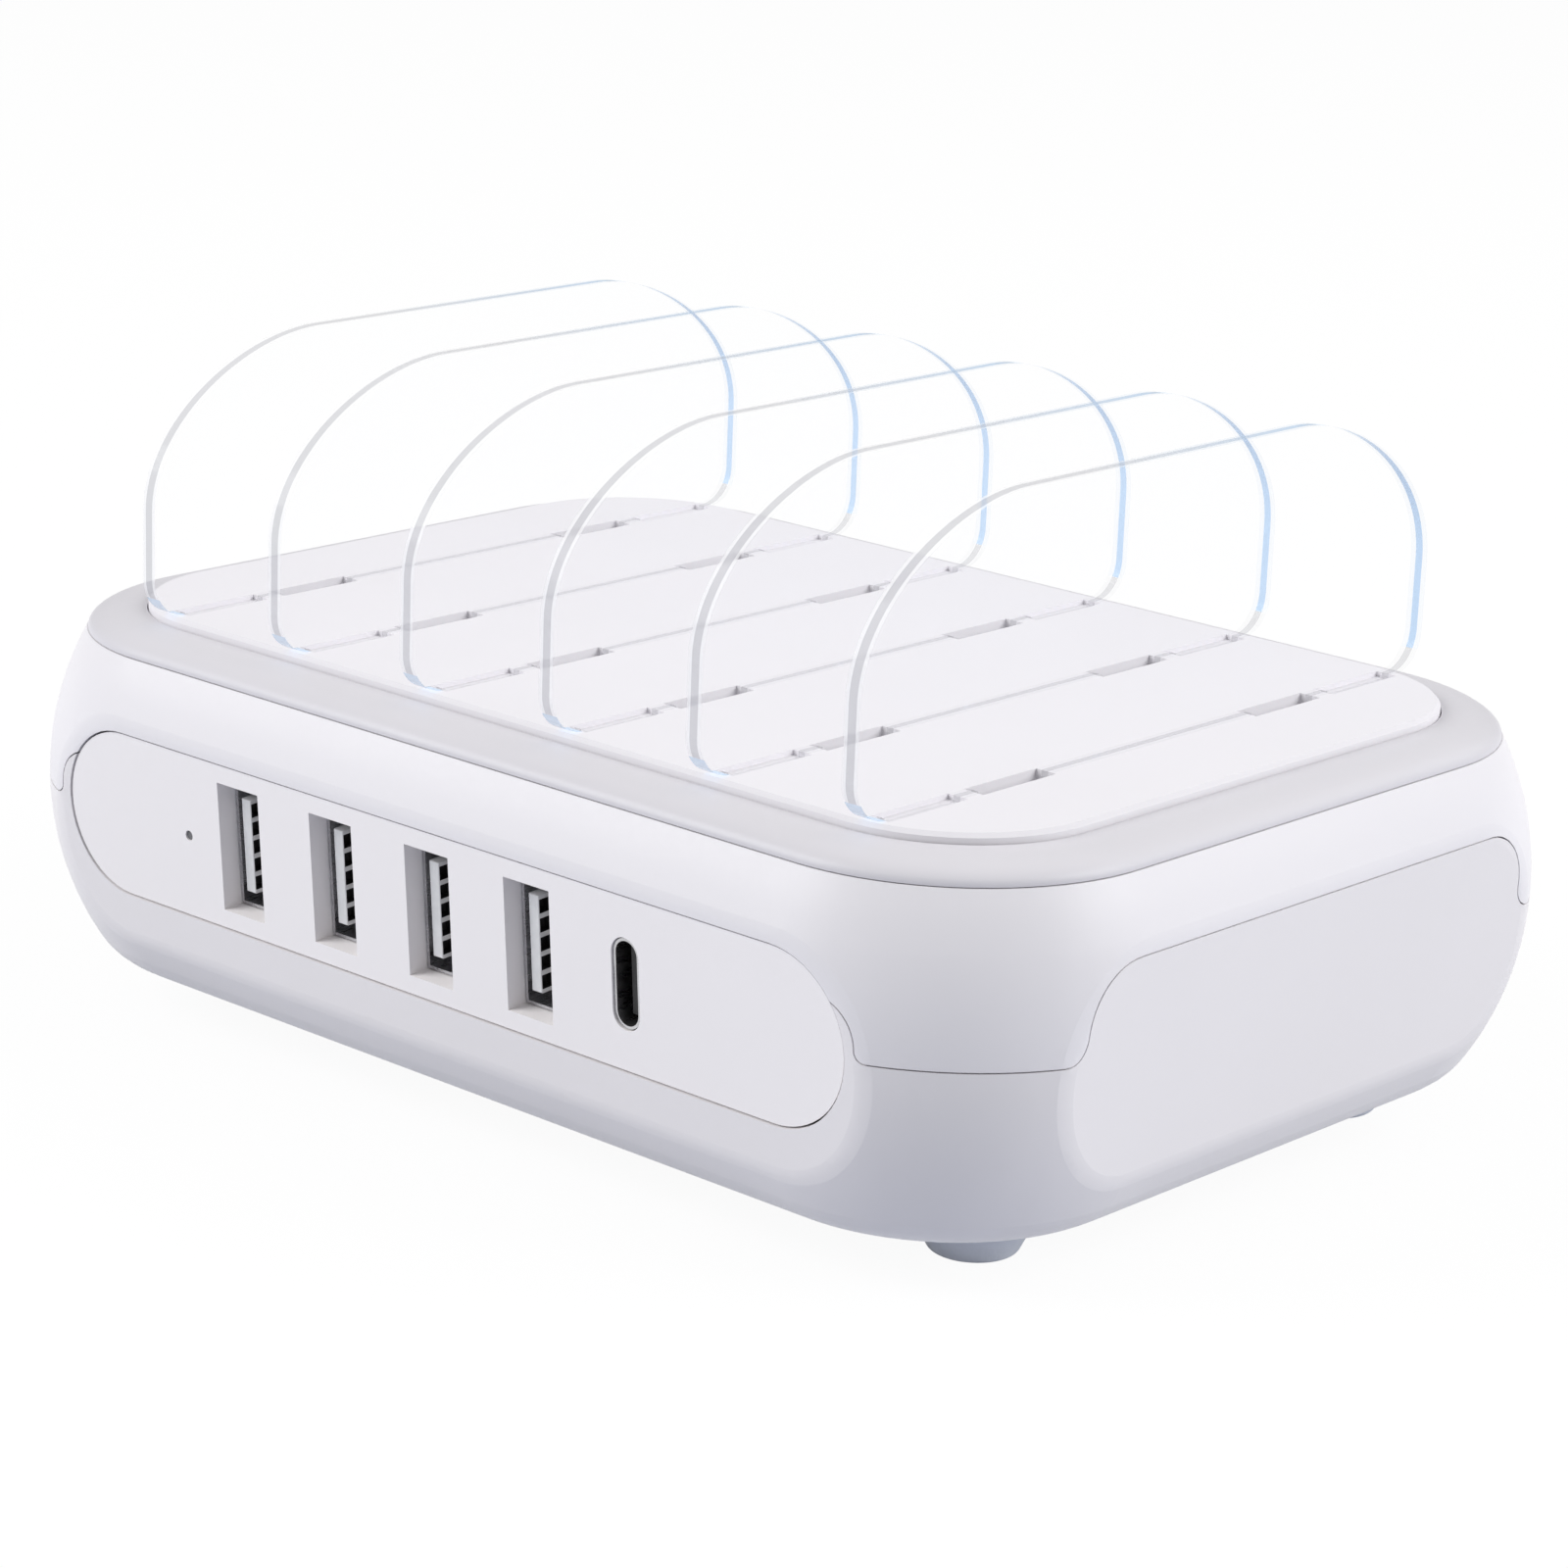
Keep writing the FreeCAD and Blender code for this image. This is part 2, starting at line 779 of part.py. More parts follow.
# Type A socket: shell, white tongue with its base, and four contacts
def usb_a(x):
    w = usb_a_width / 2
    h = usb_a_height / 2
    back = board_from_face
    shell = box(x - w, x + w, usb_a_setback, back, -h, h)
    w_in = w - usb_a_wall
    h_in = h - usb_a_wall
    shell = shell.cut(box(x - w_in, x + w_in, usb_a_setback - wall, back + wall, -h_in, h_in))
    base_w = w_in - base_play
    base_h = h_in - base_play
    base = box(x - base_w, x + base_w, back - tongue_base, back, -base_h, base_h)
    t0 = x - w_in + tongue_wall_gap
    t1 = t0 + tongue_thickness
    tongue = box(t0, t1, tongue_setback, back - tongue_base, -tongue_height / 2, tongue_height / 2)
    insulator = base.fuse(tongue).removeSplitter()
    strips = []
    start = tongue_setback + contact_setback
    for v in (-contact_outer_place, -contact_inner_place, contact_inner_place, contact_outer_place):
        half = contact_width / 2
        strips.append(box(t1, t1 + contact_thickness, start, back - tongue_base, v - half, v + half))
    return shell, insulator, Part.makeCompound(strips)


# Type C socket: shell, tongue on a base, and two rows of contacts
def usb_c(x):
    back = board_from_face
    tube = upright_stadium(usb_c_width, usb_c_height, usb_c_setback, back)
    inside_w = usb_c_width - 2 * usb_c_wall
    inside_h = usb_c_height - 2 * usb_c_wall
    shell = tube.cut(upright_stadium(inside_w, inside_h, usb_c_setback - wall, back + wall))
    tip = c_tongue_setback + c_tongue_length
    base = upright_stadium(inside_w - 2 * base_play, inside_h - 2 * base_play, tip, back)
    t = c_tongue_thickness / 2
    tongue = box(-t, t, c_tongue_setback, tip, -c_tongue_height / 2, c_tongue_height / 2)
    insulator = base.fuse(tongue).removeSplitter()
    strips = []
    half = c_contact_width / 2
    for side in (-1, 1):
        a = side * t
        b = side * (t + c_contact_thickness)
        for i in range(c_contact_count):
            v = (i - (c_contact_count - 1) / 2) * c_contact_pitch
            strips.append(box(min(a, b), max(a, b), tip - c_contact_length, tip, v - half, v + half))
    out = [shell, insulator, Part.makeCompound(strips)]
    for piece in out:
        piece.translate(V(x, 0, 0))
    return out


# Boards
port_board = box(
    -port_board_half_length,
    port_board_half_length,
    board_from_face,
    board_from_face + board_thickness,
    -port_board_half_height,
    port_board_half_height,
)
light_pipe = Part.makeCylinder(
    pipe_diameter / 2,
    board_from_face - chip_depth - chip_gap - pipe_setback,
    V(led_place, pipe_setback, 0),
    V(0, 1, 0),
)
led_chip = box(
    led_place - chip_width / 2,
    led_place + chip_width / 2,
    board_from_face - chip_depth,
    board_from_face,
    -chip_height / 2,
    chip_height / 2,
)
main_board = box(
    -main_board_length / 2,
    main_board_length / 2,
    -main_board_depth / 2,
    main_board_depth / 2,
    z_board,
    z_board_top,
)
for x, y in four(standoff_x, standoff_y):
    main_board = main_board.cut(
        cylinder(board_screw_shank / 2 + screw_play, x, y, z_board - wall, z_board_top + wall)
    )
port_board_back = -face_half_depth + board_from_face + board_thickness
header_front = port_board_back + port_board_half_height * facet_slope_share + header_gap
header = box(
    -header_length / 2,
    header_length / 2,
    header_front,
    header_front + header_depth,
    z_board_top,
    z_board_top + header_height,
)


# Power parts
def can(x, y, diameter, height):
    body = cylinder(diameter / 2, x, y, z_board_top, z_board_top + height)
    rim = [e for e in body.Edges if e.BoundBox.ZMin > z_board_top + height / 2]
    return body.makeChamfer(can_rim, rim)


core = box(-core_length / 2, core_length / 2, -core_depth / 2, core_depth / 2, 0, core_height)
window_top = core_height - core_limb
for side in (-1, 1):
    a = side * core_limb
    b = side * (core_length / 2 - core_limb)
    core = core.cut(box(min(a, b), max(a, b), -core_depth, core_depth, core_limb, window_top))
wind_x = core_length / 2 - core_limb - winding_play
wind_y = core_depth / 2 + winding_overhang
wind_low = core_limb + winding_play
wind_high = window_top - winding_play
winding = rounded_prism(wind_x, wind_y, winding_corner, wind_low, wind_high)
grown = box(
    -core_limb - winding_play,
    core_limb + winding_play,
    -core_depth / 2 - winding_play,
    core_depth / 2 + winding_play,
    -core_height,
    2 * core_height,
)
winding = winding.cut(grown)
for piece in (core, winding):
    piece.translate(V(core_place_x, core_place_y, z_board_top))

bulk = can(bulk_place_x, bulk_place_y, bulk_diameter, bulk_height)
outputs = [
    can(output_place_x + i * output_spacing, output_place_y, output_diameter, output_height)
    for i in range(output_count)
]

sink = box(-sink_length / 2, sink_length / 2, 0, sink_base, 0, sink_height)
fin_step = (sink_length - sink_fin) / (sink_fin_count - 1)
for i in range(sink_fin_count):
    x0 = -sink_length / 2 + i * fin_step
    sink = sink.fuse(box(x0, x0 + sink_fin, -sink_fin_depth, sink_base, 0, sink_height))
sink = sink.removeSplitter()
sink.translate(V(sink_place_x, sink_place_y, z_board_top))
transistor_y = sink_place_y + sink_base
transistor = box(
    sink_place_x - transistor_width / 2,
    sink_place_x + transistor_width / 2,
    transistor_y,
    transistor_y + transistor_thickness,
    z_board_top,
    z_board_top + transistor_height,
)
choke_start = V(choke_place_x - choke_ring / 2, choke_place_y, z_board_top + choke_diameter / 2)
choke = Part.makeCylinder(choke_diameter / 2, choke_ring, choke_start, V(1, 0, 0))
choke = choke.makeChamfer(choke_bevel, [e for e in choke.Edges if e.BoundBox.XLength < choke_ring / 2])
choke = choke.cut(Part.makeCylinder(choke_diameter / 2 - choke_ring, choke_ring, choke_start, V(1, 0, 0)))
fuse_z = z_board_top + fuse_diameter / 2
fuse_start = V(fuse_place_x - fuse_length / 2, fuse_place_y, fuse_z)
fuse = Part.makeCylinder(fuse_diameter / 2 - fuse_cap_step, fuse_length, fuse_start, V(1, 0, 0))
for shift in (0, fuse_length - fuse_cap):
    cap = Part.makeCylinder(fuse_diameter / 2, fuse_cap, fuse_start + V(shift, 0, 0), V(1, 0, 0))
    fuse = fuse.fuse(cap)
rectifier = box(-rectifier_length / 2, rectifier_length / 2, 0, rectifier_depth, 0, rectifier_height)
across = [e for e in rectifier.Edges if e.BoundBox.YLength > rectifier_depth / 2]
upper_right = [e for e in across if e.BoundBox.XMin > 0 and e.BoundBox.ZMin > rectifier_height / 2]
rectifier = rectifier.makeChamfer(rectifier_corner, upper_right)
rectifier.translate(V(rectifier_place_x, rectifier_place_y, z_board_top))

# Mains inlet with a two-lobed cavity and two round pins
inlet_mid = z_board_top + inlet_height / 2
inlet_rear = face_half_depth - inlet_recess
inlet = box(
    inlet_place - inlet_width / 2,
    inlet_place + inlet_width / 2,
    inlet_rear - inlet_length,
    inlet_rear,
    z_board_top,
    z_board_top + inlet_height,
)
cavity_floor = inlet_rear - inlet_cavity_depth
cavity = box(
    inlet_place - pin_spacing / 2,
    inlet_place + pin_spacing / 2,
    cavity_floor,
    inlet_rear + wall,
    inlet_mid - inlet_waist_height / 2,
    inlet_mid + inlet_waist_height / 2,
)
pins = []
for side in (-1, 1):
    x = inlet_place + side * pin_spacing / 2
    lobe = Part.makeCylinder(
        inlet_lobe_diameter / 2, inlet_cavity_depth + wall, V(x, cavity_floor, inlet_mid), V(0, 1, 0)
    )
    cavity = cavity.fuse(lobe)
    pins.append(
        Part.makeCylinder(
            pin_diameter / 2, pin_length + pin_root, V(x, cavity_floor - pin_root, inlet_mid), V(0, 1, 0)
        )
    )
inlet = inlet.cut(cavity.removeSplitter()).cut(Part.makeCompound(pins))


# Feet and screws
def foot(x, y):
    top_r = foot_diameter / 2
    low_r = top_r - foot_draft
    cone = Part.makeCone(low_r, top_r, foot_reach, V(x, y, 0))
    rim = [e for e in cone.Edges if e.BoundBox.ZMax < foot_edge_radius]
    cone = cone.makeFillet(foot_edge_radius, rim)
    return cone.fuse(cylinder(top_r, x, y, foot_reach, foot_reach + foot_recess)).removeSplitter()


def screw(x, y, head_r, head_z, shank_r, shank_z):
    head = cylinder(head_r, x, y, head_z[0], head_z[1])
    return head.fuse(cylinder(shank_r, x, y, shank_z[0], shank_z[1])).removeSplitter()


case_head = (z_screw_seat - screw_head_height, z_screw_seat)
case_shank = (z_screw_seat, z_boss_top + post_height_gap + screw_bite - screw_play)
board_head = (z_board_top, z_board_top + board_screw_head_height)
board_shank = (z_board - board_screw_bite + screw_play, z_board_top)
case_screws = [
    screw(x, y, screw_head_diameter / 2, case_head, screw_shank_diameter / 2, case_shank)
    for x, y in four(foot_x, foot_y)
]
board_screws = [
    screw(x, y, board_screw_head / 2, board_head, board_screw_shank / 2, board_shank)
    for x, y in four(standoff_x, standoff_y)
]

# Every piece by its name
nodes = {
    "lower_shell": lower,
    "upper_shell": upper,
    "top_band": band,
    "slot_panel": panel,
    "port_plate": on_facet(plate, "front"),
    "port_board": on_facet(port_board, "front"),
    "led_light_pipe": on_facet(light_pipe, "front"),
    "led_chip": on_facet(led_chip, "front"),
    "main_board": main_board,
    "board_header": header,
    "transformer_core": core,
    "transformer_winding": winding,
    "bulk_capacitor": bulk,
    "output_capacitors": Part.makeCompound(outputs),
    "heat_sink": sink,
    "switch_transistor": transistor,
    "line_choke": choke,
    "line_fuse": fuse,
    "bridge_rectifier": rectifier,
    "mains_inlet": inlet,
    "mains_pins": Part.makeCompound(pins),
    "case_screws": Part.makeCompound(case_screws),
    "board_screws": Part.makeCompound(board_screws),
}
for i, x in enumerate(port_x):
    shell, insulator, contacts = usb_a(x)
    nodes["usb_a_shell_%d" % (i + 1)] = on_facet(shell, "front")
    nodes["usb_a_tongue_%d" % (i + 1)] = on_facet(insulator, "front")
    nodes["usb_a_contacts_%d" % (i + 1)] = on_facet(contacts, "front")
shell, insulator, contacts = usb_c(usb_c_place)
nodes["usb_c_shell"] = on_facet(shell, "front")
nodes["usb_c_tongue"] = on_facet(insulator, "front")
nodes["usb_c_contacts"] = on_facet(contacts, "front")
for i, (x, y) in enumerate(four(foot_x, foot_y)):
    nodes["foot_%d" % (i + 1)] = foot(x, y)
for i, x in enumerate(divider_x):
    piece = divider()
    piece.translate(V(x, 0, 0))
    nodes["divider_%d" % (i + 1)] = piece

os.makedirs("parts", exist_ok=True)
for name, shape in nodes.items():
    shape.exportStep("parts/%s.step" % name)
    print(name, len(shape.Solids), "solids", round(shape.Volume, 1), "mm3", shape.isValid())
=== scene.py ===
import json
import math

import bmesh
import bpy
from mathutils import Matrix, Vector


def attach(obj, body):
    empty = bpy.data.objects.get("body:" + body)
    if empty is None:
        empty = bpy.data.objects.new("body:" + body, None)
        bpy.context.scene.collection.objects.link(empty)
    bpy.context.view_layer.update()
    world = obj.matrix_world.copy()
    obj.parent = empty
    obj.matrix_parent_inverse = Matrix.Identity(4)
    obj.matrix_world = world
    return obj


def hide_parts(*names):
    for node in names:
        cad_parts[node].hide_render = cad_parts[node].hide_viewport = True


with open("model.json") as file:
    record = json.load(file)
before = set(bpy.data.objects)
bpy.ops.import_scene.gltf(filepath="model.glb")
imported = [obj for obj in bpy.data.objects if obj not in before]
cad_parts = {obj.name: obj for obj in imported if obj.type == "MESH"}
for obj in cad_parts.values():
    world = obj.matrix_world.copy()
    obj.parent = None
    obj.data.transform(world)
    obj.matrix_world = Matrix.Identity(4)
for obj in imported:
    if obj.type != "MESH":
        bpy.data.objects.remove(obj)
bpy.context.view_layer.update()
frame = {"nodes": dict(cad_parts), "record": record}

nodes = frame["nodes"]
print("frame loaded:", len(nodes), "nodes")

slack = 1e-6  # metres, for comparing places on a mesh


def deselectAll():
    for obj in bpy.context.selected_objects:
        obj.select_set(False)


# shader helpers

def newMaterial(name):
    mat = bpy.data.materials.new(name)
    mat.use_nodes = True
    tree = mat.node_tree
    return mat, tree, tree.nodes["Principled BSDF"], tree.nodes["Material Output"]


def addNode(tree, kind, x=0, y=0, **settings):
    node = tree.nodes.new(kind)
    node.location = (x, y)
    for key, value in settings.items():
        setattr(node, key, value)
    return node


def newGroup(name, inputs, outputs):
    tree = bpy.data.node_groups.new(name, "ShaderNodeTree")
    for label, kind, value in inputs:
        socket = tree.interface.new_socket(label, in_out="INPUT", socket_type=kind)
        if value is not None:
            socket.default_value = value
    for label, kind in outputs:
        tree.interface.new_socket(label, in_out="OUTPUT", socket_type=kind)
    return tree, addNode(tree, "NodeGroupInput", -900), addNode(tree, "NodeGroupOutput", 700)


def setOrLink(tree, socket, value):
    if isinstance(value, bpy.types.NodeSocket):
        tree.links.new(value, socket)
    elif isinstance(value, tuple):
        socket.default_value = (*value, 1)
    else:
        socket.default_value = value


def noiseInto(tree, vector, scaleSocket, detail, x, y):
    noise = addNode(tree, "ShaderNodeTexNoise", x, y)
    noise.inputs["Detail"].default_value = detail
    tree.links.new(vector, noise.inputs["Vector"])
    tree.links.new(scaleSocket, noise.inputs["Scale"])
    return noise.outputs["Fac"]


def rangeInto(tree, value, limits, x, y):
    node = addNode(tree, "ShaderNodeMapRange", x, y)
    node.inputs["From Min"].default_value = limits[0]
    node.inputs["From Max"].default_value = limits[1]
    tree.links.new(value, node.inputs["Value"])
    return node


def mathInto(tree, operation, values, x, y):
    node = addNode(tree, "ShaderNodeMath", x, y, operation=operation)
    for socket, value in zip(node.inputs, values):
        setOrLink(tree, socket, value)
    return node.outputs["Value"]


def mixInto(tree, factor, first, second, x, y, **settings):
    node = addNode(tree, "ShaderNodeMix", x, y, **settings)
    tree.links.new(factor, node.inputs["Factor"])
    setOrLink(tree, node.inputs["A"], first)
    setOrLink(tree, node.inputs["B"], second)
    return node.outputs["Result"]


def mixColours(tree, factor, first, second, x, y):
    return mixInto(tree, factor, first, second, x, y, data_type="RGBA")


def mixShaders(tree, factor, first, second, x, y):
    node = addNode(tree, "ShaderNodeMixShader", x, y)
    setOrLink(tree, node.inputs["Fac"], factor)
    tree.links.new(first, node.inputs[1])
    tree.links.new(second, node.inputs[2])
    return node.outputs["Shader"]


# one group for every finish: cloudy tone, uneven roughness and a fine height
grainLook = dict(cloudDetail=3.0, cloudRange=(0.35, 0.65), grainDetail=2.0, grainRange=(0.3, 0.7))


def makeSurfaceGroup(look):
    tree, gin, gout = newGroup(
        "surfaceGrain",
        [
            ("Vector", "NodeSocketVector", None),
            ("Tone", "NodeSocketColor", (0.8, 0.8, 0.8, 1)),
            ("Shade", "NodeSocketColor", (0.7, 0.7, 0.7, 1)),
            ("Cloud Scale", "NodeSocketFloat", 40.0),
            ("Grain Scale", "NodeSocketFloat", 4000.0),
            ("Rough Low", "NodeSocketFloat", 0.3),
            ("Rough High", "NodeSocketFloat", 0.4),
        ],
        [("Color", "NodeSocketColor"), ("Roughness", "NodeSocketFloat"), ("Height", "NodeSocketFloat")],
    )
    vector = gin.outputs["Vector"]
    cloud = noiseInto(tree, vector, gin.outputs["Cloud Scale"], look["cloudDetail"], -600, 200)
    share = rangeInto(tree, cloud, look["cloudRange"], -350, 200).outputs["Result"]
    tone = mixColours(tree, share, gin.outputs["Tone"], gin.outputs["Shade"], 0, 250)
    tree.links.new(tone, gout.inputs["Color"])
    grain = noiseInto(tree, vector, gin.outputs["Grain Scale"], look["grainDetail"], -600, -150)
    rough = rangeInto(tree, grain, look["grainRange"], -350, -150)
    tree.links.new(gin.outputs["Rough Low"], rough.inputs["To Min"])
    tree.links.new(gin.outputs["Rough High"], rough.inputs["To Max"])
    tree.links.new(rough.outputs["Result"], gout.inputs["Roughness"])
    tree.links.new(grain, gout.inputs["Height"])
    return tree


surfaceGroup = makeSurfaceGroup(grainLook)


def addGrain(tree, vector, look, x, y):
    group = addNode(tree, "ShaderNodeGroup", x, y, node_tree=surfaceGroup)
    tree.links.new(vector, group.inputs["Vector"])
    values = (look["tone"], look["shade"], look["cloud"], look["grain"], *look["rough"])
    labels = ("Tone", "Shade", "Cloud Scale", "Grain Scale", "Rough Low", "Rough High")
    for label, value in zip(labels, values):
        setOrLink(tree, group.inputs[label], value)
    return group


def surfaceMaterial(name, look):
    mat, tree, shader, _ = newMaterial(name)
    coords = addNode(tree, "ShaderNodeTexCoord", -1000)
    mapping = addNode(tree, "ShaderNodeMapping", -800)
    mapping.inputs["Scale"].default_value = look.get("stretch", (1, 1, 1))
    tree.links.new(coords.outputs["Object"], mapping.inputs["Vector"])
    group = addGrain(tree, mapping.outputs["Vector"], look, -500, 0)
    tree.links.new(group.outputs["Color"], shader.inputs["Base Color"])
    tree.links.new(group.outputs["Roughness"], shader.inputs["Roughness"])
    bump = addNode(tree, "ShaderNodeBump", -250, -250)
    bump.inputs["Strength"].default_value = look["bump"]
    bump.inputs["Distance"].default_value = look["depth"]
    tree.links.new(group.outputs["Height"], bump.inputs["Height"])
    tree.links.new(bump.outputs["Normal"], shader.inputs["Normal"])
    for socket, value in look.get("shader", {}).items():
        shader.inputs[socket].default_value = value
    return mat


# white plastics and the rest, by the record's material slots
finishes = {
    "lower_white": dict(tone=(0.845, 0.82, 0.832), shade=(0.835, 0.81, 0.822), cloud=30, grain=1800,
                        rough=(0.34, 0.42), bump=0.02, depth=0.00004, shader={"IOR": 1.38}),
    "upper_white": dict(tone=(0.832, 0.813, 0.838), shade=(0.822, 0.803, 0.828), cloud=30, grain=1800,
                        rough=(0.34, 0.42), bump=0.02, depth=0.00004, shader={"IOR": 1.38}),
    # band_white: the band's tone is set greyer than the shells to paint the shade the rounded band shows
    "band_white": dict(tone=(0.69, 0.675, 0.71), shade=(0.68, 0.665, 0.70), cloud=30, grain=1800,
                       rough=(0.34, 0.42), bump=0.02, depth=0.00004, shader={"IOR": 1.38}),
    "panel_white": dict(tone=(0.80, 0.785, 0.817), shade=(0.79, 0.775, 0.807), cloud=35, grain=2200,
                        rough=(0.66, 0.78), bump=0.03, depth=0.00004, shader={"IOR": 1.30}),
    "plate_white": dict(tone=(0.945, 0.915, 0.918), shade=(0.935, 0.905, 0.908), cloud=35, grain=2200,
                        rough=(0.40, 0.50), bump=0.03, depth=0.00004, shader={"IOR": 1.38}),
    # foot_rubber: white rubber with a blue tint that paints the blue cast of the shade under the base
    "foot_rubber": dict(tone=(0.86, 0.89, 0.95), shade=(0.82, 0.85, 0.91), cloud=250, grain=1500,
                        rough=(0.55, 0.72), bump=0.25, depth=0.0002),
    "light_pipe": dict(tone=(0.09, 0.09, 0.10), shade=(0.13, 0.13, 0.14), cloud=900, grain=3000,
                       rough=(0.25, 0.40), bump=0.04, depth=0.0001),
    "socket_steel": dict(tone=(0.62, 0.62, 0.64), shade=(0.50, 0.50, 0.52), cloud=400, grain=3000,
                         stretch=(1, 0.15, 1), rough=(0.22, 0.38), bump=0.08, depth=0.0001,
                         shader={"Metallic": 1.0}),
    "contact_gold": dict(tone=(0.72, 0.66, 0.56), shade=(0.62, 0.55, 0.42), cloud=900, grain=3000,
                         stretch=(1, 0.2, 1), rough=(0.20, 0.34), bump=0.05, depth=0.0001,
                         shader={"Metallic": 1.0}),
    "tongue_white": dict(tone=(0.80, 0.80, 0.80), shade=(0.74, 0.74, 0.74), cloud=600, grain=2500,
                         rough=(0.40, 0.55), bump=0.10, depth=0.0001),
    # tongue_black: also painted into the type A tongues' pocket floors as their shade
    "tongue_black": dict(tone=(0.012, 0.012, 0.013), shade=(0.02, 0.02, 0.021), cloud=600, grain=2500,
                         rough=(0.40, 0.55), bump=0.10, depth=0.0001),
    "chip_yellow": dict(tone=(0.75, 0.62, 0.22), shade=(0.65, 0.5, 0.15), cloud=1500, grain=4000,
                        rough=(0.25, 0.35), bump=0.05, depth=0.0001),
    "board_green": dict(tone=(0.012, 0.13, 0.05), shade=(0.03, 0.22, 0.09), cloud=180, grain=900,
                        rough=(0.30, 0.45), bump=0.15, depth=0.0001),
    "part_black": dict(tone=(0.018, 0.018, 0.02), shade=(0.03, 0.03, 0.032), cloud=300, grain=2500,
                       rough=(0.45, 0.62), bump=0.15, depth=0.0001),
    "inlet_black": dict(tone=(0.014, 0.014, 0.015), shade=(0.024, 0.024, 0.025), cloud=220, grain=2200,
                        rough=(0.40, 0.55), bump=0.20, depth=0.0001),
    "ferrite": dict(tone=(0.035, 0.035, 0.038), shade=(0.055, 0.053, 0.052), cloud=300, grain=1800,
                    rough=(0.55, 0.75), bump=0.30, depth=0.0001),
    "tape_yellow": dict(tone=(0.68, 0.46, 0.03), shade=(0.58, 0.36, 0.02), cloud=150, grain=800,
                        stretch=(1, 1, 6), rough=(0.25, 0.40), bump=0.20, depth=0.0002),
    "can_sleeve": dict(tone=(0.012, 0.022, 0.045), shade=(0.02, 0.033, 0.06), cloud=200, grain=1200,
                       rough=(0.22, 0.34), bump=0.08, depth=0.0001),
    "sink_metal": dict(tone=(0.58, 0.59, 0.60), shade=(0.48, 0.49, 0.50), cloud=200, grain=1800,
                       stretch=(1, 1, 0.1), rough=(0.32, 0.48), bump=0.15, depth=0.0001,
                       shader={"Metallic": 1.0}),
    "copper_wire": dict(tone=(0.60, 0.23, 0.07), shade=(0.46, 0.16, 0.05), cloud=300, grain=1500,
                        rough=(0.25, 0.40), bump=0.30, depth=0.0002, shader={"Metallic": 1.0}),
    "fuse_sleeve": dict(tone=(0.42, 0.37, 0.28), shade=(0.36, 0.31, 0.23), cloud=300, grain=1800,
                        rough=(0.35, 0.50), bump=0.10, depth=0.0001),
    "pin_metal": dict(tone=(0.66, 0.66, 0.67), shade=(0.56, 0.56, 0.57), cloud=500, grain=2500,
                      stretch=(1, 0.1, 1), rough=(0.12, 0.24), bump=0.04, depth=0.0001,
                      shader={"Metallic": 1.0}),
    "screw_steel": dict(tone=(0.52, 0.52, 0.54), shade=(0.42, 0.42, 0.44), cloud=500, grain=2500,
                        rough=(0.25, 0.42), bump=0.10, depth=0.0001, shader={"Metallic": 1.0}),
}
materials = {slot: surfaceMaterial(slot, look) for slot, look in finishes.items()}

# clear sheet: almost nothing on its broad faces; along its edges painted light: a grey core for light bent
# inside the edge, with pale flanks as a painted highlight, blue towards the rear as the sheet's blue tint with
# painted light through it, and a painted blue glint at the front toes; shift keeps the count of pitches above
# zero
acrylicLook = dict(
    tone=(0.90, 0.91, 0.94), shade=(0.873, 0.8827, 0.9118), cloud=60, grain=900, rough=(0.04, 0.10),
    ior=1.49, gloss=0.1, pitch=0.019, shift=4.0, broadFrom=0.9,
    line=0.00040, core=0.00048, outer=0.00086, depthRange=(-0.012, 0.026), footTop=0.0445, footFront=-0.0388,
    paintedRefractionGrey=(0.55, 0.55, 0.58), paintedFlankHighlight=(0.97, 0.97, 0.98), rearTintAndThroughLight=(0.46, 0.66, 0.90),
    footGrey=(0.42, 0.42, 0.45), paintedToeGlint=(0.50, 0.70, 0.92),
    faceAlpha=0.015, edgeAlpha=0.60, borderAlpha=0.55, rimAlpha=0.06, rearAlpha=0.80, rearClear=0.10,
    footAlpha=0.40, toeGlintAlpha=0.55,
)


